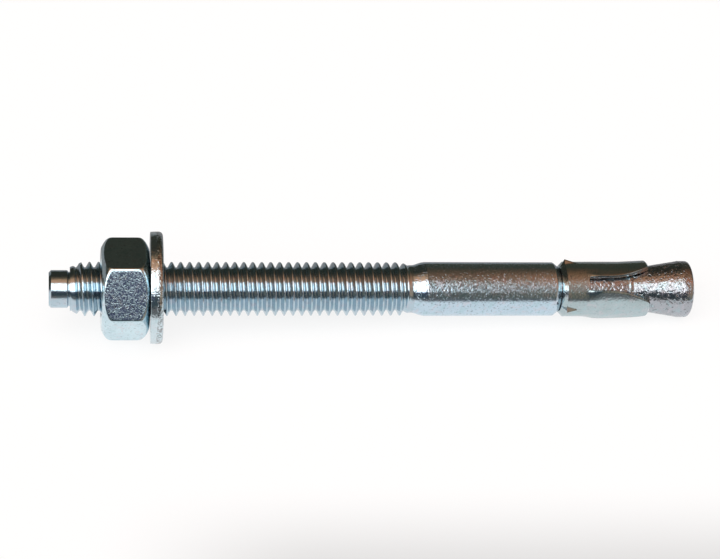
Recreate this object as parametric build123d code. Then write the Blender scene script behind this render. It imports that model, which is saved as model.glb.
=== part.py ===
from build123d import *
from math import asin, atan2, cos, degrees, hypot, radians, sin, tan
import os

# A through-bolt wedge anchor, M6, lying at rest on its washer and its cone.
# Millimetres and degrees. Each piece is built along X, from the impact end at
# X = 0 to the cone, and the whole anchor is then laid down on the floor.
# Turns about the axis are counted up from the horizontal on the -Y side.

# Thread
THREAD_D = 6.0              # major diameter
THREAD_PITCH = 1.0
THREAD_DEPTH_SHARE = 17 / 24  # of the full triangle, from the crest to the root
BLANK_DEPTH_SHARE = 3 / 8   # of the full triangle, from the crest to the rolling blank
THREAD_LENGTH = 37.4        # from the dog's shoulder to the last full turn
LEAD_LENGTH = 1.6           # chamfer that starts the thread

# Stud
DOG_D = 4.15                # impact point that takes the hammer
DOG_LENGTH = 2.3
DOG_EDGE = 0.25
RUNOUT_LENGTH = 0.35        # last turn falls to the rolling blank
BLANK_LENGTH = 0.25
SHOULDER_LENGTH = 1.35      # blank swells to the shank
SHANK_D = 6.06
SHANK_LENGTH = 14.75
SHANK_STEP = 0.45           # radial height of the chamfer at the shank's end
SHANK_STEP_LENGTH = 0.6
NECK_D = 4.6
NECK_LENGTH = 7.85
COLLAR_HEIGHT = 0.07        # parting ridge where the neck meets the cone
COLLAR_LENGTH = 0.55
CONE_ANGLE = 9.0            # half angle
CONE_LENGTH = 5.25
LAND_D = 6.41               # short cylinder at the cone's foot
LAND_BLEND = 0.35
LAND_LENGTH = 1.25
END_EDGE = 0.35

# Expansion sleeve, a strip rolled round the neck
SLEEVE_WALL = 0.63
SLEEVE_CLEARANCE = 0.17     # between the neck and the band
SLEEVE_GAP = 0.15           # between the shank's step and the band
SLEEVE_LENGTH = 10.1
SLEEVE_EDGE = 0.5           # bevel on the band's outer edge
BAND_LENGTH = 7.0           # straight part, before the petals open
PETAL_CLEARANCE = 0.03      # between the petals' tips and the cone
PETAL_TIP_EDGE = 0.18
PETAL_CORNER_LENGTH = 0.14  # of the rounded corner, along the petal
CORNER_HEADING = 80.0       # of the corner where it meets the petal's tip
PETAL_COUNT = 3
SLOT_HALF_ANGLE = 15.0
SLOT_ROOT = 2.95            # from the band's edge to the slot's root
SLOT_CORNER = 0.3
SLOT_FLARE = 5.2            # from the band's edge to where the slot widens
MOUTH_HALF_ANGLE = 39.5
MOUTH_LEAN = 37.5           # lean of the slot's side at its mouth
SEAM_GAP = 0.12             # where the strip's ends meet
RIB_HEIGHT = 0.45
RIB_WIDTH = 0.8
RIB_LENGTH = 1.5
RIB_SETBACK = 0.5           # from the band's edge to the rib's crest
SLEEVE_TURN = 53.5          # of the slot that faces -Y

# Hex nut
NUT_FROM_END = 5.7
NUT_FLATS = 10.0
NUT_HEIGHT = 5.2
NUT_FACE_D = 9.24           # circle that bears on the washer
NUT_CROWN_ANGLE = 50.0      # of the crown's cone from the axis
NUT_CROWN_EDGE = 1.3
NUT_CORNER = 0.25
NUT_CLEARANCE = 0.03
NUT_SINK_D = 6.7            # countersink at each mouth of the bore
NUT_TURN = 34.0             # of the flat that faces -Y

# Washer
WASHER_D = 12.4
WASHER_BORE = 6.4
WASHER_THICKNESS = 1.5
WASHER_ROLL = 0.45          # rounded edge on the punch side
WASHER_BURR = 0.1           # small bevel on its other edges
SEAT_GAP = 0.02             # between faces that bear on each other

# Sizes that follow from these
THREAD_R = THREAD_D / 2
THREAD_TRIANGLE = THREAD_PITCH * cos(radians(30))
THREAD_MINOR_R = THREAD_R - THREAD_TRIANGLE * THREAD_DEPTH_SHARE
BLANK_R = THREAD_R - THREAD_TRIANGLE * BLANK_DEPTH_SHARE
SHANK_R = SHANK_D / 2
STEP_R = SHANK_R - SHANK_STEP
NECK_R = NECK_D / 2
LAND_R = LAND_D / 2
THREAD_END = DOG_LENGTH + THREAD_LENGTH
BLANK_START = THREAD_END + RUNOUT_LENGTH
BLANK_END = BLANK_START + BLANK_LENGTH
SHANK_START = BLANK_END + SHOULDER_LENGTH
STEP_START = SHANK_START + SHANK_LENGTH
NECK_START = STEP_START + SHANK_STEP_LENGTH
COLLAR_START = NECK_START + NECK_LENGTH
CONE_START = COLLAR_START + COLLAR_LENGTH
CONE_END = CONE_START + CONE_LENGTH
CONE_END_R = NECK_R + CONE_LENGTH * tan(radians(CONE_ANGLE))
LAND_START = CONE_END + LAND_BLEND
STUD_LENGTH = LAND_START + LAND_LENGTH

SLEEVE_START = NECK_START + SLEEVE_GAP
SLEEVE_END = SLEEVE_START + SLEEVE_LENGTH
BAND_END = SLEEVE_START + BAND_LENGTH
BAND_INNER_R = NECK_R + SLEEVE_CLEARANCE
BAND_R = BAND_INNER_R + SLEEVE_WALL
TIP_INNER_R = NECK_R + (SLEEVE_END - CONE_START) * tan(radians(CONE_ANGLE)) + PETAL_CLEARANCE
TIP_R = TIP_INNER_R + SLEEVE_WALL
PETAL_PITCH = 360 / PETAL_COUNT

NUT_END = NUT_FROM_END + NUT_HEIGHT
NUT_CORNER_R = NUT_FLATS / 2 / cos(radians(30))
NUT_FACE_R = NUT_FACE_D / 2
NUT_BORE_R = THREAD_R + NUT_CLEARANCE

WASHER_START = NUT_END + SEAT_GAP
WASHER_END = WASHER_START + WASHER_THICKNESS
WASHER_R = WASHER_D / 2
WASHER_BORE_R = WASHER_BORE / 2
WASHER_LIFT = WASHER_BORE_R - THREAD_R - SEAT_GAP


def turned(points, rounded=(), bevelled=()):
    """A solid turned about X from (station, radius) points.

    rounded lists (point, radius) pairs, and bevelled lists (point, width) pairs.
    """
    section = make_face(Polyline(*points, close=True))
    for place, radius in rounded:
        corner = section.vertices().sort_by_distance(points[place])[0]
        section = fillet(corner, radius)
    for place, width in bevelled:
        corner = section.vertices().sort_by_distance(points[place])[0]
        section = chamfer(corner, width)
    return revolve(section, Axis.X)


def about_x(turn):
    """Takes what was built on +Z to this turn about the axis."""
    return Rot(90 - turn, 0, 0)


def stud():
    """Dog point, thread at its major diameter, shank, reduced neck and cone, turned in one piece."""
    points = [
        (0, 0),
        (0, DOG_D / 2),
        (DOG_LENGTH, DOG_D / 2),
        (DOG_LENGTH, THREAD_MINOR_R),
        (DOG_LENGTH + LEAD_LENGTH, THREAD_R),
        (THREAD_END, THREAD_R),
        (BLANK_START, BLANK_R),
        (BLANK_END, BLANK_R),
        (SHANK_START, SHANK_R),
        (STEP_START, SHANK_R),
        (NECK_START, STEP_R),
        (NECK_START, NECK_R),
        (COLLAR_START, NECK_R),
        (COLLAR_START, NECK_R + COLLAR_HEIGHT),
        (CONE_START, NECK_R + COLLAR_HEIGHT),
        (CONE_START, NECK_R),
        (CONE_END, CONE_END_R),
        (LAND_START, LAND_R),
        (STUD_LENGTH, LAND_R),
        (STUD_LENGTH, 0),
    ]
    rounded = [(8, SHOULDER_LENGTH), (18, END_EDGE)]
    return turned(points, rounded, bevelled=[(1, DOG_EDGE)])


def slot_section(height):
    """The funnel slot's outline on a plane at this height over the axis; its sides run to the axis."""
    root = height * tan(radians(SLOT_HALF_ANGLE))
    mouth = height * tan(radians(MOUTH_HALF_ANGLE))
    lean = tan(radians(MOUTH_LEAN)) * height / BAND_R
    heading = degrees(atan2(lean, 1))
    corner = PETAL_CORNER_LENGTH / (sin(radians(CORNER_HEADING)) - sin(radians(heading)))
    start = SLEEVE_START + SLOT_ROOT
    flare = SLEEVE_START + SLOT_FLARE
    corner_start = SLEEVE_END - PETAL_CORNER_LENGTH
    straight = Line((start, root), (flare, root))
    funnel = Spline((flare, root), (corner_start, mouth), tangents=[(1, 0), (1, lean)])
    rounding = JernArc(funnel @ 1, (1, lean), corner, CORNER_HEADING - heading)
    beyond = PolarLine(rounding @ 1, SLEEVE_WALL, CORNER_HEADING)
    side = straight + funnel + rounding + beyond
    far = beyond @ 1
    ends = Line((start, root), (start, -root)) + Line(far, (far.X, -far.Y))
    outline = make_face(side + mirror(side, Plane.XZ) + ends)
    corners = outline.vertices().group_by(Axis.X)[0]
    return Pos(0, 0, height) * fillet(corners, SLOT_CORNER * height / BAND_R)


def slot():
    """One funnel slot, with radial walls as in a punched strip that is then rolled."""
    inside = slot_section(NECK_R / 2)
    outside = slot_section(TIP_R + SLEEVE_WALL)
    return loft([inside, outside], ruled=True)


def rib():
    """One coined rib at the band's edge: a triangular ridge that runs out towards the petal."""
    crest = SLEEVE_START + RIB_SETBACK
    crest_r = BAND_R + RIB_HEIGHT
    base_r = BAND_R - SLEEVE_WALL / 2
    half = RIB_WIDTH / 2 * (crest_r - base_r) / RIB_HEIGHT
    ridge = Polyline((half, base_r), (0, crest_r), (-half, base_r), close=True)
    section = Plane((crest, 0, 0), x_dir=(0, 1, 0), z_dir=(1, 0, 0)) * make_face(ridge)
    run_out = Vertex(crest + RIB_LENGTH, 0, base_r + SLEEVE_WALL / 2)
    edge = Vertex(SLEEVE_START, 0, base_r)
    return loft([section, run_out]) + loft([edge, section])


def sleeve():
    """The clip: a band with ribs, parted by funnel slots into petals that open over the cone."""
    points = [
        (SLEEVE_START, BAND_INNER_R),
        (SLEEVE_START, BAND_R),
        (BAND_END, BAND_R),
        (SLEEVE_END, TIP_R),
        (SLEEVE_END, TIP_INNER_R),
        (BAND_END, BAND_INNER_R),
    ]
    flare = SLEEVE_END - BAND_END
    body = turned(points, [(2, flare)], bevelled=[(1, SLEEVE_EDGE), (3, PETAL_TIP_EDGE)])
    for number in range(PETAL_COUNT):
        body -= about_x(SLEEVE_TURN + number * PETAL_PITCH) * slot()
    for number in range(PETAL_COUNT):
        body += about_x(SLEEVE_TURN + (number + 0.5) * PETAL_PITCH) * rib()
    seam = Box(
        SLOT_ROOT + SLOT_CORNER,
        SEAM_GAP,
        TIP_R * 2,
        align=(Align.MIN, Align.CENTER, Align.MIN),
    )
    return body - about_x(SLEEVE_TURN + PETAL_PITCH) * Pos(SLEEVE_START, 0, 0) * seam


def nut():
    """Hex nut, crowned at both ends, with a countersunk bore that clears the thread's crests."""
    hexagon = RegularPolygon(NUT_FLATS / 2, 6, major_radius=False)
    hexagon = fillet(hexagon.vertices(), NUT_CORNER)
    prism = extrude(Plane.YZ * hexagon, NUT_HEIGHT)
    crown_length = (NUT_CORNER_R - NUT_FACE_R) / tan(radians(NUT_CROWN_ANGLE))
    crown = turned(
        [
            (0, 0),
            (0, NUT_FACE_R),
            (crown_length, NUT_CORNER_R),
            (NUT_HEIGHT - crown_length, NUT_CORNER_R),
            (NUT_HEIGHT, NUT_FACE_R),
            (NUT_HEIGHT, 0),
        ],
        [(2, NUT_CROWN_EDGE), (3, NUT_CROWN_EDGE)],
    )
    sink_r = NUT_SINK_D / 2
    sink = sink_r - NUT_BORE_R
    bore = turned(
        [
            (0, 0),
            (0, sink_r),
            (sink, NUT_BORE_R),
            (NUT_HEIGHT - sink, NUT_BORE_R),
            (NUT_HEIGHT, sink_r),
            (NUT_HEIGHT, 0),
        ]
    )
    return Pos(NUT_FROM_END, 0, 0) * about_x(NUT_TURN) * ((prism & crown) - bore)


def washer():
    """Plain punched washer, which hangs on the stud, so the stud lies on the bottom of its bore."""
    points = [
        (WASHER_START, WASHER_BORE_R),
        (WASHER_START, WASHER_R),
        (WASHER_END, WASHER_R),
        (WASHER_END, WASHER_BORE_R),
    ]
    bevelled = [(0, WASHER_BURR), (1, WASHER_BURR), (3, WASHER_BURR)]
    return Pos(0, 0, WASHER_LIFT) * turned(points, [(2, WASHER_ROLL)], bevelled)


def laid_down():
    """The move from the turning axis to the floor, where the washer's and the cone's edges both touch."""
    washer_x = WASHER_END - WASHER_ROLL
    washer_r = WASHER_R - WASHER_ROLL - WASHER_LIFT
    land_x = STUD_LENGTH - END_EDGE
    land_r = LAND_R - END_EDGE
    run = land_x - washer_x
    rise = washer_r - land_r
    lean = atan2(rise, run) + asin((WASHER_ROLL - END_EDGE) / hypot(run, rise))
    height = washer_x * sin(lean) + washer_r * cos(lean) + WASHER_ROLL
    left = -(DOG_D / 2 - DOG_EDGE) * sin(lean)
    right = land_x * cos(lean) + land_r * sin(lean) + END_EDGE
    return Pos(-(left + right) / 2, 0, height) * Rot(0, degrees(lean), 0)


os.makedirs("parts", exist_ok=True)
PIECES = {
    "stud": stud(),
    "expansion_sleeve": sleeve(),
    "nut": nut(),
    "washer": washer(),
}
for name, piece in PIECES.items():
    export_step(laid_down() * piece, "parts/" + name + ".step")
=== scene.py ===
import bmesh
import bpy
from math import atan, atan2, cos, hypot, pi, radians, sin, sqrt, tan
from mathutils import Matrix, Vector


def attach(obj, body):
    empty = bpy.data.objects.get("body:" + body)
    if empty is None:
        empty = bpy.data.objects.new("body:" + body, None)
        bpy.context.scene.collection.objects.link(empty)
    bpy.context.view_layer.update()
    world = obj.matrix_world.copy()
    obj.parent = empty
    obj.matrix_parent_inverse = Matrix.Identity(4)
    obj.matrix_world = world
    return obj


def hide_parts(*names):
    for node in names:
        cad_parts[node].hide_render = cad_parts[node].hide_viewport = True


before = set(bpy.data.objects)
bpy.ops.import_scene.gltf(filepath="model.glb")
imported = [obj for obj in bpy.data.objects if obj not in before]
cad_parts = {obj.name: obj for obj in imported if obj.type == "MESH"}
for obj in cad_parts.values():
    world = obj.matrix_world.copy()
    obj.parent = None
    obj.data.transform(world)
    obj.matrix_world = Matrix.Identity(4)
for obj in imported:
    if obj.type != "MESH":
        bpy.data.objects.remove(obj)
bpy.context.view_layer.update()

# The stud is one piece of carbon steel wire, plated with zinc. Its thread is
# rolled, so the crests stand a little over the blank, and its impact point,
# neck, cone and land are turned. Stations are in millimetres from the impact end.
LEAN = radians(2.689396)
LAID = (
    Matrix.Translation((-0.0361095596, 0, 0.0065755218))
    @ Matrix.Rotation(LEAN, 4, "Y")
    @ Matrix.Scale(0.001, 4)
)
PITCH = 1.0
FIRST_CREST = 0.55
THREAD_START = 2.3
THREAD_STOP = 40.05
LEAD_STOP = 3.7
FADE_START = 38.9
LEAD_R = 2.42
CREST_R = 3.0
BLANK_R = 2.675
THREAD_TURNS = 40
TURN_STEPS = 96
STUD_TOOTH = [
    (-0.500, 2.387),
    (-0.436, 2.400),
    (-0.382, 2.438),
    (-0.342, 2.498),
    (-0.134, 2.868),
    (-0.104, 2.930),
    (-0.058, 2.981),
    (0.000, 3.000),
    (0.058, 2.981),
    (0.104, 2.930),
    (0.134, 2.868),
    (0.342, 2.498),
    (0.382, 2.438),
    (0.436, 2.400),
    (0.500, 2.387),
]
POINT_STATIONS = [
    (2.30, 1.90),
    (2.12, 1.90),
    (2.02, 2.075),
    (1.94, 2.075),
    (0.32, 2.075),
    (0.00, 2.075),
]
SHANK_STATIONS = [
    (40.30, 2.675),
    (40.50, 2.700),
    (40.75, 2.775),
    (41.00, 2.862),
    (41.25, 2.940),
    (41.50, 2.997),
    (41.78, 3.030),
    (56.25, 3.03),
    (56.40, 3.03),
    (57.00, 2.58),
    (57.00, 2.30),
    (57.20, 2.30),
    (64.75, 2.30),
    (64.85, 2.30),
    (64.85, 2.37),
    (65.40, 2.37),
    (65.40, 2.30),
    (65.60, 2.3317),
    (70.45, 3.0998),
    (70.65, 3.1315),
    (71.00, 3.205),
    (72.25, 3.205),
]
STUD_BEVELS = [
    (0.0, 2.075, 0.25, 1),
    (2.02, 2.075, 0.03, 2),
    (56.40, 3.03, 0.06, 3),
    (57.00, 2.58, 0.05, 3),
    (64.85, 2.37, 0.03, 2),
    (65.40, 2.37, 0.03, 2),
    (72.25, 3.205, 0.35, 6),
]
# Points this close are joined, and points this near a cut or a ring lie on it.
TURNS_JOIN = 0.002
POINTS_JOIN = 0.0005
ON_PLANE = 0.00001
ON_RING = 0.001
SHARP_ANGLE = radians(38)


def wound(tooth, crest, turns):
    """A helical face of this tooth form: one turn is spun, then repeated along the axis."""
    bm = bmesh.new()
    points = [bm.verts.new((crest + station, 0, radius)) for station, radius in tooth]
    for near, far in zip(points, points[1:]):
        bm.edges.new((near, far))
    bmesh.ops.spin(
        bm,
        geom=bm.verts[:] + bm.edges[:],
        cent=(0, 0, 0),
        axis=(1, 0, 0),
        dvec=(PITCH / TURN_STEPS, 0, 0),
        angle=2 * pi,
        steps=TURN_STEPS,
    )
    turn = bm.verts[:] + bm.edges[:] + bm.faces[:]
    for number in range(1, turns):
        copy = bmesh.ops.duplicate(bm, geom=turn)["geom"]
        moved = [part for part in copy if isinstance(part, bmesh.types.BMVert)]
        bmesh.ops.translate(bm, verts=moved, vec=(number * PITCH, 0, 0))
    bmesh.ops.remove_doubles(bm, verts=bm.verts[:], dist=TURNS_JOIN)
    return bm


def cut_square(bm, start, stop):
    """Cuts the piece square to its axis at both stations."""
    for station, towards in ((start, -1), (stop, 1)):
        bmesh.ops.bisect_plane(
            bm,
            geom=bm.verts[:] + bm.edges[:] + bm.faces[:],
            dist=ON_PLANE,
            plane_co=(station, 0, 0),
            plane_no=(towards, 0, 0),
            clear_outer=True,
        )


def set_radius(vert, radius):
    """Moves a point straight out from the axis, or in, to this radius."""
    scale = radius / hypot(vert.co.y, vert.co.z)
    vert.co.y *= scale
    vert.co.z *= scale


def open_ring(bm, station):
    """The open edges round this station."""
    return [
        edge
        for edge in bm.edges
        if edge.is_boundary and all(abs(vert.co.x - station) < ON_RING for vert in edge.verts)
    ]


def turn_on(bm, ring, stations):
    """Carries an open ring on through stations and radii, as on a lathe."""
    for station, radius in stations:
        made = bmesh.ops.extrude_edge_only(bm, edges=ring)["geom"]
        for vert in [part for part in made if isinstance(part, bmesh.types.BMVert)]:
            vert.co.x = station
            set_radius(vert, radius)
        edges = [part for part in made if isinstance(part, bmesh.types.BMEdge)]
        ring = [edge for edge in edges if edge.is_boundary]
    return ring


def ease_edge(bm, station, radius, width, segments):
    """Bevels the turned edge at this station and radius."""
    ring = [
        edge
        for edge in bm.edges
        if all(abs(vert.co.x - station) < ON_RING for vert in edge.verts)
        and all(abs(hypot(vert.co.y, vert.co.z) - radius) < ON_RING for vert in edge.verts)
    ]
    bmesh.ops.bevel(
        bm,
        geom=ring,
        offset=width,
        offset_type="OFFSET",
        affect="EDGES",
        segments=segments,
        profile=0.5,
        material=-1,
    )


def eased(part):
    """A soft rise from 0 to 1 as this part goes from 0 to 1, and level outside."""
    part = min(max(part, 0), 1)
    return part * part * (3 - 2 * part)


def laid_down(bm, name, body, node):
    """Turns a piece built along the axis into an object at rest, in place of its node."""
    bmesh.ops.remove_doubles(bm, verts=bm.verts[:], dist=POINTS_JOIN)
    bmesh.ops.recalc_face_normals(bm, faces=bm.faces[:])
    bmesh.ops.transform(bm, matrix=LAID, verts=bm.verts[:])
    mesh = bpy.data.meshes.new(name)
    bm.to_mesh(mesh)
    bm.free()
    mesh.shade_smooth()
    mesh.set_sharp_from_angle(angle=SHARP_ANGLE)
    piece = bpy.data.objects.new(name, mesh)
    bpy.context.scene.collection.objects.link(piece)
    true_flats = piece.modifiers.new("true_flats", "WEIGHTED_NORMAL")
    true_flats.mode = "FACE_AREA"
    true_flats.weight = 100
    true_flats.keep_sharp = True
    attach(piece, body)
    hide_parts(node)
    return piece


lead_slope = (CREST_R - LEAD_R) / (LEAD_STOP - THREAD_START)
stud_mesh = wound(STUD_TOOTH, FIRST_CREST + PITCH, THREAD_TURNS)
cut_square(stud_mesh, THREAD_START, THREAD_STOP)
for vert in stud_mesh.verts:
    radius = hypot(vert.co.y, vert.co.z)
    lead = LEAD_R + lead_slope * (vert.co.x - THREAD_START)
    fade = eased((vert.co.x - FADE_START) / (THREAD_STOP - FADE_START))
    set_radius(vert, min(radius, lead) * (1 - fade) + BLANK_R * fade)
for station, stations in ((THREAD_START, POINT_STATIONS), (THREAD_STOP, SHANK_STATIONS)):
    end = turn_on(stud_mesh, open_ring(stud_mesh, station), stations)
    bmesh.ops.contextual_create(stud_mesh, geom=end)
for station, radius, width, segments in STUD_BEVELS:
    ease_edge(stud_mesh, station, radius, width, segments)
stud = laid_down(stud_mesh, "threaded_stud", "stud", "stud")


class Shade:
    """A socket in a node tree. Arithmetic on it adds Math nodes, and add makes any other node."""

    def __init__(self, tree, socket=None):
        self.tree = tree
        self.socket = socket

    def add(self, kind, settings, inputs, output=0):
        node = self.tree.nodes.new(kind)
        for name, value in settings.items():
            if name == "stops":
                ramp = node.color_ramp
                while len(ramp.elements) < len(value):
                    ramp.elements.new(1)
                for element, (position, colour) in zip(ramp.elements, value):
                    element.position = position
                    element.color = (*colour, 1)
            else:
                setattr(node, name, value)
        for name, value in inputs.items():
            if isinstance(name, str):
                socket = self.named(node.inputs, name)
            else:
                socket = node.inputs[name]
            if isinstance(value, Shade):
                self.tree.links.new(value.socket, socket)
            else:
                socket.default_value = value
        if isinstance(output, str):
            made = self.named(node.outputs, output)
        else:
            made = node.outputs[output] if len(node.outputs) else None
        return Shade(self.tree, made)

    @staticmethod
    def named(sockets, name):
        """The socket of this name that the node's settings leave in use."""
        return next(each for each in sockets if each.name == name and each.enabled)

    def math(self, operation, left, right=0.0):
        return self.add("ShaderNodeMath", {"operation": operation}, {0: left, 1: right})

    def __add__(self, other):
        return self.math("ADD", self, other)

    def __radd__(self, other):
        return self.math("ADD", other, self)

    def __sub__(self, other):
        return self.math("SUBTRACT", self, other)

    def __rsub__(self, other):
        return self.math("SUBTRACT", other, self)

    def __mul__(self, other):
        return self.math("MULTIPLY", self, other)

    def __rmul__(self, other):
        return self.math("MULTIPLY", other, self)

    def between(self, low, high):
        """0 below low, 1 above high, and an even rise between them."""
        return self.add(
            "ShaderNodeMapRange",
            {"interpolation_type": "SMOOTHSTEP"},
            {"Value": self, "From Min": low, "From Max": high},
        )

    def noise(self, **inputs):
        """Noise from 0 to 1 at this place."""
        return self.add("ShaderNodeTexNoise", {}, {"Vector": self, **inputs}, "Fac")

    def mixed(self, first, second, blend="MIX"):
        """Mixes two colours by this factor."""
        return self.add(
            "ShaderNodeMix",
            {"data_type": "RGBA", "blend_type": blend},
            {"Factor": self, "A": first, "B": second},
            "Result",
        )


def rgb(red, green, blue):
    return (red, green, blue, 1)


ROSY_ZINC = rgb(0.60, 0.53, 0.58)
TEAL_ZINC = rgb(0.36, 0.56, 0.60)
TINT_SHARE = 0.30
PIT_COLOUR = rgb(0.14, 0.17, 0.18)
CRYSTAL_ROUGH = 0.08
CLOUD_ROUGH = 0.04
TORN_COLOUR = rgb(0.14, 0.12, 0.11)
TORN_SHARE = 0.6
TORN_RISE = 3.0
TORN_WANDER = 0.5
TORN_EDGE = 0.08


def zinc_plate(
    name,
    tint,
    dull,
    grain,
    rise,
    gloss,
    streak=0.0,
    swell=0.0,
    pits=0.4,
    stain=0.15,
    fleck=0.0,
    torn=None,
):
    """Zinc plate with a clear blue passivation: cloudy tint, crystal grain, pits and draw lines.

    grain is grains to the millimetre, rise the depth of the relief in millimetres, gloss the
    roughness of the smooth metal, streak how strong the lines along the axis are, swell how
    strong the broad uneven patches are, pits how deep the pits are, stain how dark they are,
    fleck how dull the dull grains are, and torn the stations of a band left rough by a punch.
    """
    material = bpy.data.materials.new(name)
    material.use_nodes = True
    tree = material.node_tree
    tree.nodes.clear()
    plate = Shade(tree)
    place = plate.add(
        "ShaderNodeMapping",
        {"vector_type": "TEXTURE"},
        {
            "Vector": plate.add("ShaderNodeTexCoord", {}, {}, "Object"),
            "Location": LAID.to_translation(),
            "Rotation": (0, LEAN, 0),
            "Scale": (0.001, 0.001, 0.001),
        },
    )
    cloud = place.noise(Scale=0.35, Detail=3.0, Roughness=0.6)
    hue = place.noise(Scale=1.3, Detail=3.0, Distortion=0.6)
    crystal = place.noise(Scale=grain, Detail=0.6, Roughness=0.5)
    pit = place.noise(Scale=grain * 0.8, Detail=1.0).between(0.60, 0.70)
    along = plate.add(
        "ShaderNodeVectorMath", {"operation": "MULTIPLY"}, {0: place, 1: (0.12, 4.0, 4.0)}
    )
    drawn = along.noise(Scale=1.0, Detail=3.0)
    uneven = place.noise(Scale=1.5, Detail=1.0)
    body = cloud.between(0.35, 0.68).mixed(rgb(*tint), rgb(*dull))
    rosy = (hue.between(0.52, 0.70) * TINT_SHARE).mixed(body, ROSY_ZINC)
    teal = (hue.between(0.48, 0.32) * TINT_SHARE).mixed(rosy, TEAL_ZINC)
    worn = (pit * stain).mixed(teal, PIT_COLOUR)
    flecks = crystal.between(0.44, 0.62) * fleck
    rough = gloss + crystal * CRYSTAL_ROUGH + flecks + cloud * CLOUD_ROUGH
    relief = crystal + drawn * streak + uneven * swell - pit * pits
    if torn:
        start, stop = torn
        station = plate.add("ShaderNodeSeparateXYZ", {}, {"Vector": place}, "X")
        ragged = station + (hue - 0.5) * TORN_WANDER
        band = ragged.between(start, start + TORN_EDGE) * ragged.between(stop + TORN_EDGE, stop)
        chips = place.noise(Scale=3.6, Detail=1.0)
        relief = relief + band * chips * TORN_RISE
        worn = (band * chips.between(0.60, 0.40) * TORN_SHARE).mixed(worn, TORN_COLOUR)
    normal = plate.add(
        "ShaderNodeBump",
        {},
        {"Strength": 1.0, "Distance": rise / 1000, "Height": relief},
        "Normal",
    )
    surface = plate.add(
        "ShaderNodeBsdfPrincipled",
        {},
        {"Base Color": worn, "Metallic": 1.0, "Roughness": rough, "Normal": normal},
    )
    plate.add("ShaderNodeOutputMaterial", {}, {"Surface": surface})
    return material


# The plate changes where the rolled thread ends and where the turned neck starts.
PLATE_CHANGES = (40.30, 57.00)
stud.data.materials.append(
    zinc_plate(
        "stud_zinc_thread",
        tint=(0.47, 0.59, 0.67),
        dull=(0.44, 0.55, 0.62),
        grain=4.0,
        rise=0.006,
        gloss=0.08,
    )
)
stud.data.materials.append(
    zinc_plate(
        "stud_zinc_shank",
        tint=(0.52, 0.65, 0.75),
        dull=(0.48, 0.61, 0.70),
        grain=5.0,
        rise=0.008,
        gloss=0.05,
        streak=0.2,
        swell=0.4,
        pits=1.8,
        stain=0.3,
        fleck=0.08,
    )
)
stud.data.materials.append(
    zinc_plate(
        "stud_zinc_cone",
        tint=(0.41, 0.44, 0.48),
        dull=(0.37, 0.39, 0.42),
        grain=3.6,
        rise=0.040,
        gloss=0.08,
        swell=0.6,
        pits=0.8,
        stain=0.4,
        fleck=0.10,
    )
)
for face in stud.data.polygons:
    station = (LAID.inverted() @ face.center).x
    face.material_index = sum(station >= change for change in PLATE_CHANGES)

# The expansion sleeve is a strip of sheet steel. Three funnel slots and three
# ribs are punched in it, it is rolled loosely round the neck, which leaves a
# seam, and its petals come out of the rolls flatter than its band.
SLEEVE_START = 57.15
SLEEVE_LENGTH = 10.1
SLEEVE_WALL = 0.63
BAND_R = 3.10
BAND_LENGTH = 7.0
TIP_R = 3.253
BAND_BEVEL = 0.5
TIP_BEVEL = 0.18
TIP_CORNER = 0.25
PETAL_CENTRE = radians(-6.5)
PETAL_PITCH = 2 * pi / 3
PETAL_COUNT = 3
SLOT_ROOT = 2.95
SLOT_CORNER = 0.3
SLOT_ANGLE = radians(15)
SLOT_FLARE = 5.2
MOUTH_ANGLE = radians(39.5)
MOUTH_LEAN = tan(radians(37.5)) / BAND_R
SEAM_GAP = 0.12
RIB_HEIGHT = 0.45
RIB_CREST = 0.5
RIB_RUN = 1.45
RIB_HALF_WIDTH = 0.36
PETAL_FLAT = 0.62
BEND_START = 2.55
BEND_LENGTH = 2.0
BAND_OFF = PETAL_PITCH / 2 - SLOT_ANGLE
SLEEVE_ROWS = [0, 0.08, 0.17, 0.26, 0.35, 0.44, 0.5, 0.56, 0.66, 0.8, 0.95]
SLEEVE_ROWS += [1.1, 1.3, 1.5, 1.7, 1.9, 2.1, 2.35, 2.6, 2.8, 2.95, 2.99, 3.05, 3.14, 3.25]
SLEEVE_ROWS += [3.5 + 0.25 * number for number in range(24)]
SLEEVE_ROWS += [9.42, 9.6, 9.76, 9.92, 10.1]
RIB_COLUMNS = [0, 0.08, 0.16, 0.25, 0.34, 0.44]
PETAL_COLUMNS = 6
ROOT_COLUMNS = 2
CUT_ANGLE = radians(60)
SAME_FACE = 0.01
CUT_BEVEL = 0.03
BEND_EDGE = radians(10)
TIP_RUN = 0.8
CREST_ROUND = 0.003
CREST_DROP = 0.055
FOOT_ROUND = 0.0008


def slot_angle(row):
    """Half the slot's opening, seen from the axis, at this distance from the band's edge."""
    if row < SLOT_ROOT + SLOT_CORNER:
        short = SLOT_CORNER - max(row - SLOT_ROOT, 0)
        return SLOT_ANGLE - (SLOT_CORNER - sqrt(SLOT_CORNER**2 - short**2)) / BAND_R
    run = SLEEVE_LENGTH - SLOT_FLARE
    part = max(row - SLOT_FLARE, 0) / run
    rise = tan(MOUTH_ANGLE) - tan(SLOT_ANGLE)
    curve = rise * part**2 * (3 - 2 * part) + MOUTH_LEAN * run * part**2 * (part - 1)
    return atan(tan(SLOT_ANGLE) + curve)


def petal_column(column, row):
    """Distance of a column of the sheet from its petal's middle, in millimetres of arc."""
    place = abs(column)
    edge = (PETAL_PITCH / 2 - slot_angle(row)) * BAND_R
    rib_edge = RIB_COLUMNS[-1]
    beside = place - (len(RIB_COLUMNS) - 1)
    if beside <= 0:
        across = RIB_COLUMNS[place]
    elif beside <= PETAL_COLUMNS:
        across = rib_edge + (edge - rib_edge) * beside / PETAL_COLUMNS
    else:
        slot = PETAL_PITCH / 2 * BAND_R - edge
        across = edge + slot * (beside - PETAL_COLUMNS) / ROOT_COLUMNS
    return across if column > 0 else -across


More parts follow.
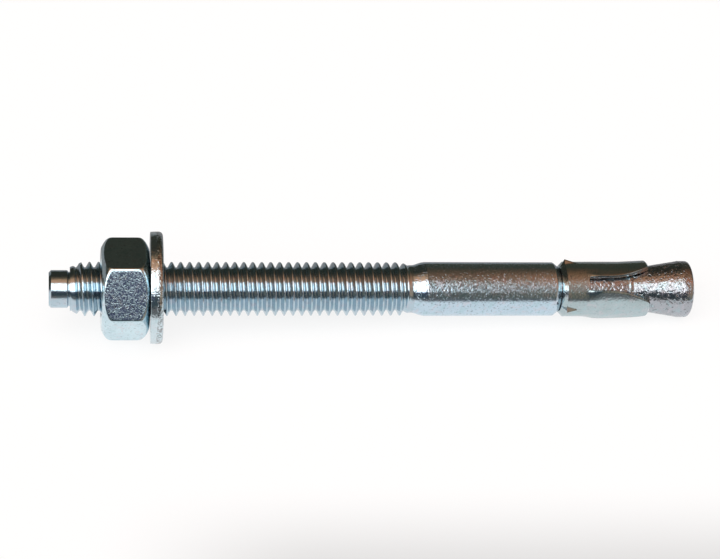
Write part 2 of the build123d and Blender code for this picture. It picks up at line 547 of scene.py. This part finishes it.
half_petal = len(RIB_COLUMNS) - 1 + PETAL_COLUMNS + ROOT_COLUMNS
columns = PETAL_COUNT * half_petal * 2
rows = len(SLEEVE_ROWS) - 1
sheet_mesh = bmesh.new()
bmesh.ops.create_grid(sheet_mesh, x_segments=rows, y_segments=columns, size=0.5)
root_row = SLEEVE_ROWS.index(SLOT_ROOT)
punched = []
for face in sheet_mesh.faces:
    middle = face.calc_center_median()
    column = ((middle.y + 0.5) * columns) % (half_petal * 2)
    between_petals = abs(column - half_petal) > half_petal - ROOT_COLUMNS
    if between_petals and (middle.x + 0.5) * rows > root_row:
        punched.append(face)
bmesh.ops.delete(sheet_mesh, geom=punched, context="FACES")
strip = PETAL_COUNT * PETAL_PITCH * BAND_R
strip_edge = (strip - SEAM_GAP) / 2
for vert in sheet_mesh.verts:
    row = round((vert.co.x + 0.5) * rows)
    column = round((vert.co.y + 0.5) * columns)
    petal = min(column // (half_petal * 2), PETAL_COUNT - 1)
    across = petal_column(column - (2 * petal + 1) * half_petal, SLEEVE_ROWS[row])
    along = (petal - 1) * PETAL_PITCH * BAND_R + across
    vert.co = (SLEEVE_ROWS[row], max(min(along, strip_edge), -strip_edge), 0)
bmesh.ops.recalc_face_normals(sheet_mesh, faces=sheet_mesh.faces[:])
bmesh.ops.solidify(sheet_mesh, geom=sheet_mesh.faces[:], thickness=SLEEVE_WALL)
outer = max(vert.co.z for vert in sheet_mesh.verts)
bmesh.ops.translate(sheet_mesh, verts=sheet_mesh.verts[:], vec=(0, 0, -outer))
cut_edges = [
    edge
    for edge in sheet_mesh.edges
    if edge.calc_face_angle(0) > CUT_ANGLE
    and abs(edge.verts[0].co.z - edge.verts[1].co.z) < SAME_FACE
]
bmesh.ops.bevel(
    sheet_mesh,
    geom=cut_edges,
    offset=CUT_BEVEL,
    offset_type="OFFSET",
    affect="EDGES",
    segments=2,
    profile=0.5,
    material=-1,
)
tip_half = (PETAL_PITCH / 2 - MOUTH_ANGLE) * BAND_R
for vert in sheet_mesh.verts:
    row, along, depth = vert.co
    turn = along / BAND_R
    off = turn - round(turn / PETAL_PITCH) * PETAL_PITCH
    outward = 1 + depth / SLEEVE_WALL
    corner = min(max(abs(off) * BAND_R - (tip_half - TIP_CORNER), 0), TIP_CORNER)
    drop = TIP_CORNER - sqrt(TIP_CORNER**2 - corner**2)
    bend = eased((row - BEND_START) / BEND_LENGTH)
    if row < SLOT_ROOT:
        bend *= 1 - min(max((abs(off) - BAND_OFF) / BEND_EDGE, 0), 1)
    flat = PETAL_FLAT * min(abs(off), BAND_OFF) ** 4 * bend
    slope = row / RIB_CREST if row < RIB_CREST else 1 - (row - RIB_CREST) / RIB_RUN
    beside = sqrt((off * BAND_R) ** 2 + CREST_ROUND) - CREST_DROP
    ridge = RIB_HEIGHT * slope - RIB_HEIGHT * beside / RIB_HALF_WIDTH
    rib = (ridge + sqrt(ridge * ridge + FOOT_ROUND)) / 2 if row > 0 else 0
    edge = max(BAND_BEVEL - row, row - (SLEEVE_LENGTH - TIP_BEVEL), 0)
    flare = (TIP_R - BAND_R) * max(row - BAND_LENGTH, 0) / (SLEEVE_LENGTH - BAND_LENGTH)
    radius = BAND_R + depth + flat + flare + (rib - edge) * outward
    station = row - drop * max(row - (SLEEVE_LENGTH - TIP_RUN), 0) / TIP_RUN
    angle = PETAL_CENTRE + turn
    vert.co = (SLEEVE_START + station, -cos(angle) * radius, sin(angle) * radius)
sleeve = laid_down(sheet_mesh, "rolled_sleeve", "sleeve", "expansion_sleeve")
sleeve.data.materials.append(
    zinc_plate(
        "sleeve_zinc_plate",
        tint=(0.44, 0.53, 0.56),
        dull=(0.40, 0.49, 0.51),
        grain=4.6,
        rise=0.010,
        gloss=0.10,
    )
)

# The washer is punched from strip, so one edge is rolled over by the die and
# its rim is bright where it was shorn and rough where it tore. It lies loose
# between the nut and what is clamped, so it hangs on the stud and leans a little.
WASHER_LIFT = 0.18
WASHER_TILT = radians(-2)
WASHER_SHIFT = 0.04
WASHER_CENTRE = (11.73, 0, 0)
WASHER_STEPS = 192
TILT_AXIS = (0, 0.669, 0.743)
WASHER_SECTION = [
    (11.04, 3.20),
    (11.04, 6.17),
    (11.55, 6.20),
    (12.42, 6.20),
    (12.42, 3.20),
]
WASHER_BEVELS = [
    (11.04, 3.20, 0.10, 2),
    (12.42, 3.20, 0.10, 2),
    (11.04, 6.17, 0.06, 3),
    (12.42, 6.20, 0.45, 6),
]


def turned_round(profile, steps, closed=False):
    """This profile of stations and radii, carried once round the axis."""
    bm = bmesh.new()
    points = [bm.verts.new((station, 0, radius)) for station, radius in profile]
    for near, far in zip(points, points[1:] + points[:1] if closed else points[1:]):
        bm.edges.new((near, far))
    bmesh.ops.spin(
        bm,
        geom=bm.verts[:] + bm.edges[:],
        cent=(0, 0, 0),
        axis=(1, 0, 0),
        dvec=(0, 0, 0),
        angle=2 * pi,
        steps=steps,
        use_merge=True,
    )
    return bm


washer_mesh = turned_round(WASHER_SECTION, WASHER_STEPS, closed=True)
for station, radius, width, segments in WASHER_BEVELS:
    ease_edge(washer_mesh, station, radius, width, segments)
bmesh.ops.rotate(
    washer_mesh,
    cent=WASHER_CENTRE,
    matrix=Matrix.Rotation(WASHER_TILT, 3, TILT_AXIS),
    verts=washer_mesh.verts[:],
)
bmesh.ops.translate(
    washer_mesh, verts=washer_mesh.verts[:], vec=(WASHER_SHIFT, 0, WASHER_LIFT)
)
washer = laid_down(washer_mesh, "punched_washer", "washer", "washer")
washer.data.materials.append(
    zinc_plate(
        "washer_zinc_plate",
        tint=(0.62, 0.73, 0.78),
        dull=(0.53, 0.63, 0.68),
        grain=4.0,
        rise=0.020,
        gloss=0.07,
        torn=(11.60, 12.25),
    )
)

# The hex nut is cold-formed and tapped after, so its flats are mottled and its
# thread is bright. It runs on the stud's thread and drives the washer along it.
NUT_START = 5.7
NUT_STOP = 10.9
SINK_R = 3.35
BORE_INSET = 0.02
NUT_TOOTH = [
    (-0.500, 2.459),
    (-0.410, 2.459),
    (-0.385, 2.480),
    (-0.085, 3.000),
    (-0.045, 3.038),
    (0.045, 3.038),
    (0.085, 3.000),
    (0.385, 2.480),
    (0.410, 2.459),
    (0.500, 2.459),
]
NUT_FLAT = 5.0
NUT_CORNER = 0.28
NUT_FACE_R = 4.55
NUT_CORNER_R = 5.77
NUT_CROWN = 1.35
CROWN_POWER = 2.4
CROWN_BLEND = 0.09
NUT_EASES = ((0.20, 0.12), (0.45, 0.20))
EASE_POWER = 1.6
FACE_BEVEL = 0.05
NUT_TURN = radians(34)
NUT_STEPS = 360
NUT_ROWS = [0, 0.04, 0.09, 0.15, 0.21, 0.28, 0.35, 0.42]
NUT_ROWS += [0.5, 0.6, 0.72, 0.86, 1.02, 1.25, 1.7, 2.6]
BORE_CREST = FIRST_CREST + 4 * PITCH
BORE_TURNS = 8


def blended(low, high, width):
    """The smaller of two radii, eased over this width where they meet."""
    meet = max(width - abs(low - high), 0) / width
    return min(low, high) - meet * meet * width / 4


def nut_radius(angle, station):
    """Radius of the nut's outside at this turn and station."""
    depth = min(station - NUT_START, NUT_STOP - station)
    ease_length, ease_depth = NUT_EASES[depth != station - NUT_START]
    off = abs((angle - NUT_TURN + pi / 6) % (pi / 3) - pi / 6)
    corner = pi / 6 - off
    reach = (NUT_FLAT - NUT_CORNER) / cos(pi / 6)
    if off < atan((NUT_FLAT - NUT_CORNER) * tan(pi / 6) / NUT_FLAT):
        side = NUT_FLAT / cos(off)
    else:
        side = reach * cos(corner) + sqrt(NUT_CORNER**2 - (reach * sin(corner)) ** 2)
    ease = max(1 - depth / ease_length, 0) ** EASE_POWER * ease_depth
    fall = max(1 - depth / NUT_CROWN, 0) ** CROWN_POWER
    crown = NUT_CORNER_R - (NUT_CORNER_R - NUT_FACE_R) * fall
    return blended(side * (1 - ease / NUT_FLAT), crown, CROWN_BLEND)


stations = [NUT_START + row for row in NUT_ROWS]
stations += [NUT_STOP - row for row in reversed(NUT_ROWS[:-1])]
nut_mesh = turned_round([(station, NUT_FLAT) for station in stations], NUT_STEPS)
for vert in nut_mesh.verts:
    set_radius(vert, nut_radius(atan2(vert.co.z, -vert.co.y), vert.co.x))
for station in (NUT_START, NUT_STOP):
    turn_on(nut_mesh, open_ring(nut_mesh, station), [(station, SINK_R)])
    ease_edge(nut_mesh, station, NUT_FACE_R, FACE_BEVEL, 2)
bore_mesh = wound(NUT_TOOTH, BORE_CREST, BORE_TURNS)
cut_square(bore_mesh, NUT_START + BORE_INSET, NUT_STOP - BORE_INSET)
for vert in bore_mesh.verts:
    depth = min(vert.co.x - NUT_START, NUT_STOP - vert.co.x)
    set_radius(vert, max(hypot(vert.co.y, vert.co.z), SINK_R - depth))
tapped = bpy.data.meshes.new("tapped_bore")
bore_mesh.to_mesh(tapped)
bore_mesh.free()
nut_mesh.from_mesh(tapped)
bpy.data.meshes.remove(tapped)
for station, inset in ((NUT_START, BORE_INSET), (NUT_STOP, -BORE_INSET)):
    rings = open_ring(nut_mesh, station) + open_ring(nut_mesh, station + inset)
    bmesh.ops.bridge_loops(nut_mesh, edges=rings)
nut = laid_down(nut_mesh, "hex_nut", "nut", "nut")
nut.data.materials.append(
    zinc_plate(
        "nut_zinc_plate",
        tint=(0.60, 0.76, 0.82),
        dull=(0.55, 0.70, 0.77),
        grain=5.0,
        rise=0.006,
        gloss=0.05,
        pits=0.9,
        stain=0.3,
        fleck=0.08,
    )
)

# The floor is a white sheet, wide enough to have no edge in sight. A soft shade is painted
# into its colour at its near and far parts, and what the metal mirrors of it is painted darker.
FLOOR_R = 30
FLOOR_SIDES = 96
SHADE_SLANT = 0.06
NEAR_SHADE = (-0.0425, -0.0245)
FAR_SHADE = (0.107, 0.080)
OPEN_SIDE = (-0.034, -0.008)
SHADE_DEPTH = 0.4
MIRRORED_FAR = (0.004, 0.016)
MIRRORED_FAR_DEPTH = 0.85
MIRRORED_NEAR = (-0.036, -0.016)
LIT_PAINTED_SHADE = rgb(0.25, 0.25, 0.25)
LIT_WHITE = rgb(0.91, 0.925, 0.94)
GLOW_PAINTED_SHADE = rgb(0.15, 0.15, 0.15)
GLOW_WHITE = rgb(1.0, 1.0, 1.0)
GLOW_SHARE = 0.85
floor_mesh = bmesh.new()
bmesh.ops.create_circle(floor_mesh, cap_ends=True, radius=FLOOR_R, segments=FLOOR_SIDES)
floor_data = bpy.data.meshes.new("floor")
floor_mesh.to_mesh(floor_data)
floor_mesh.free()
floor = bpy.data.objects.new("floor", floor_data)
bpy.context.scene.collection.objects.link(floor)
paper = bpy.data.materials.new("white_paper")
paper.use_nodes = True
paper.node_tree.nodes.clear()
sheet = Shade(paper.node_tree)
ray = sheet.add("ShaderNodeLightPath", {}, {}).socket.node.outputs
camera_ray = Shade(sheet.tree, ray["Is Camera Ray"])
glossy_ray = Shade(sheet.tree, ray["Is Glossy Ray"])
direct = camera_ray + glossy_ray + Shade(sheet.tree, ray["Is Transmission Ray"])
spot = sheet.add(
    "ShaderNodeSeparateXYZ", {}, {"Vector": sheet.add("ShaderNodeTexCoord", {}, {}, "Object")}
).socket.node.outputs
ahead = Shade(sheet.tree, spot["Y"])
aside = Shade(sheet.tree, spot["X"])
level = ahead + aside * SHADE_SLANT
# Painted shade: the floor's colour darkens towards its near and far parts.
dim = 1 - level.between(*NEAR_SHADE) * ahead.between(*FAR_SHADE)
# Camera rays see none of this painted shade on the open side to the left.
open_side = camera_ray * (1 - aside.between(*OPEN_SIDE))
seen = 1 - dim * (1 - open_side) * SHADE_DEPTH
# Painted shade in reflections: what the metal mirrors of the floor is darker beyond the stud and
# far in front.
painted_far_shade = 1 - ahead.between(*MIRRORED_FAR) * MIRRORED_FAR_DEPTH
painted_mirror_shade = painted_far_shade * ahead.between(*MIRRORED_NEAR)
bright = seen + glossy_ray * (painted_mirror_shade - seen)
lit = sheet.add("ShaderNodeBsdfDiffuse", {}, {"Color": bright.mixed(LIT_PAINTED_SHADE, LIT_WHITE)})
glow = sheet.add("ShaderNodeEmission", {}, {"Color": bright.mixed(GLOW_PAINTED_SHADE, GLOW_WHITE)})
mixed_sheet = sheet.add("ShaderNodeMixShader", {}, {0: direct * GLOW_SHARE, 1: lit, 2: glow})
sheet.add("ShaderNodeOutputMaterial", {}, {"Surface": mixed_sheet})
floor.data.materials.append(paper)

# The room gives the soft light. A broad white screen stands at the threaded end, dim in
# the strip that the cone mirrors, and beyond it is a wall, warm where the sleeve mirrors
# it. Each list of colours goes up from the horizon in front, over and down behind.
WALL = [
    (0.00, (0.13, 0.14, 0.12)),
    (0.15, (0.15, 0.15, 0.13)),
    (0.22, (0.145, 0.130, 0.118)),
    (0.30, (0.19, 0.160, 0.138)),
    (0.41, (0.205, 0.135, 0.098)),
    (0.51, (0.155, 0.095, 0.062)),
    (0.62, (0.13, 0.080, 0.048)),
    (0.74, (0.10, 0.07, 0.045)),
    (0.82, (0.062, 0.065, 0.047)),
    (1.00, (0.07, 0.07, 0.05)),
]
SCREEN = [
    (0.00, (0.06, 0.08, 0.085)),
    (0.105, (0.07, 0.085, 0.11)),
    (0.135, (0.085, 0.085, 0.14)),
    (0.157, (0.11, 0.105, 0.165)),
    (0.183, (3.2, 3.2, 3.2)),
    (0.405, (3.2, 3.1, 3.0)),
    (0.435, (0.95, 0.48, 0.29)),
    (0.55, (0.75, 0.38, 0.21)),
    (0.61, (0.20, 0.13, 0.08)),
    (0.70, (0.038, 0.038, 0.028)),
    (1.00, (0.045, 0.045, 0.035)),
]
DIM_STRIP = [
    (0.00, (0.06, 0.08, 0.085)),
    (0.190, (0.06, 0.07, 0.07)),
    (0.235, (1.1, 1.1, 1.1)),
    (0.395, (1.1, 1.05, 1.0)),
    (0.435, (0.70, 0.40, 0.27)),
    (0.53, (0.45, 0.26, 0.16)),
    (0.61, (0.12, 0.09, 0.06)),
    (0.70, (0.040, 0.040, 0.032)),
    (1.00, (0.045, 0.045, 0.035)),
]
STRIP_LEFT = (-0.14, -0.10)
STRIP_RIGHT = (0.030, 0.005)
SCREEN_STOP = (0.157, 0.175)
WARM_START = (0.255, 0.285)
WARM_TOP = (0.80, 0.50)
WARM_LIGHT = rgb(3.4, 2.45, 2.1)
DARK_START = (-0.972, -0.988)
DARK_END = rgb(0.05, 0.055, 0.06)
room = bpy.data.worlds.new("studio_room")
bpy.context.scene.world = room
room.use_nodes = True
room.node_tree.nodes.clear()
air = Shade(room.node_tree)
heading = air.add("ShaderNodeTexCoord", {}, {}, "Generated")
parted = air.add("ShaderNodeSeparateXYZ", {}, {"Vector": heading}).socket.node.outputs
across = Shade(room.node_tree, parted["X"])
depth = Shade(room.node_tree, parted["Y"])
height = Shade(room.node_tree, parted["Z"])
turn = air.math("ARCTAN2", height, 0 - depth) * (1 / pi)
wall, screen, strip = (
    air.add("ShaderNodeValToRGB", {"stops": stops}, {"Fac": turn}, "Color")
    for stops in (WALL, SCREEN, DIM_STRIP)
)
in_strip = across.between(*STRIP_LEFT) * across.between(*STRIP_RIGHT)
on_left = in_strip.mixed(screen, strip)
warmth = across.between(*WARM_START) * turn.between(*WARM_TOP)
on_right = warmth.mixed(wall, WARM_LIGHT, "MULTIPLY")
broad = across.between(*SCREEN_STOP).mixed(on_left, on_right)
light = across.between(*DARK_START).mixed(broad, DARK_END)
backdrop = air.add("ShaderNodeBackground", {}, {"Color": light, "Strength": 1.0})
air.add("ShaderNodeOutputWorld", {}, {"Surface": backdrop})

# A broad, weak lamp overhead evens the light on the floor. The metal doesn't mirror
# it, so the plate shows only the screen and the wall.
LAMP_STRENGTH = 1.3
LAMP_SPREAD = radians(60)
LAMP_TILT = radians(20)
lamp_data = bpy.data.lights.new("overhead_lamp", "SUN")
lamp_data.energy = LAMP_STRENGTH
lamp_data.angle = LAMP_SPREAD
lamp = bpy.data.objects.new("overhead_lamp", lamp_data)
lamp.rotation_euler = (LAMP_TILT, 0, 0)
lamp.visible_glossy = False
bpy.context.scene.collection.objects.link(lamp)

# The camera looks down on the stud's side, a little from the threaded end. The
# focal length and the shifts are in pixels of the frame.
AIM = LAID @ Vector((34.65, 0, 0))
AXIS = (LAID.to_3x3() @ Vector((1, 0, 0))).normalized()
HEIGHT_ANGLE = radians(42)
SIDE_ANGLE = radians(9.02)
DISTANCE = 0.2461
FRAME_WIDTH = 720
FOCAL_LENGTH = 2200
SHIFT_RIGHT = -1.5
SHIFT_UP = 9.5
SENSOR_WIDTH = 36
back = Vector(
    (
        -sin(SIDE_ANGLE) * cos(HEIGHT_ANGLE),
        -cos(SIDE_ANGLE) * cos(HEIGHT_ANGLE),
        sin(HEIGHT_ANGLE),
    )
)
right = (AXIS - back * AXIS.dot(back)).normalized()
up = back.cross(right)
camera_data = bpy.data.cameras.new("camera")
camera_data.sensor_width = SENSOR_WIDTH
camera_data.lens = FOCAL_LENGTH / FRAME_WIDTH * SENSOR_WIDTH
camera_data.shift_y = SHIFT_UP / FRAME_WIDTH
camera_data.shift_x = SHIFT_RIGHT / FRAME_WIDTH
camera_data.clip_start = 0.01
camera = bpy.data.objects.new("camera", camera_data)
turned = Matrix((right, up, back)).transposed().to_4x4()
camera.matrix_world = Matrix.Translation(AIM + back * DISTANCE) @ turned
bpy.context.scene.collection.objects.link(camera)
bpy.context.scene.camera = camera
bpy.context.scene.view_settings.view_transform = "Standard"
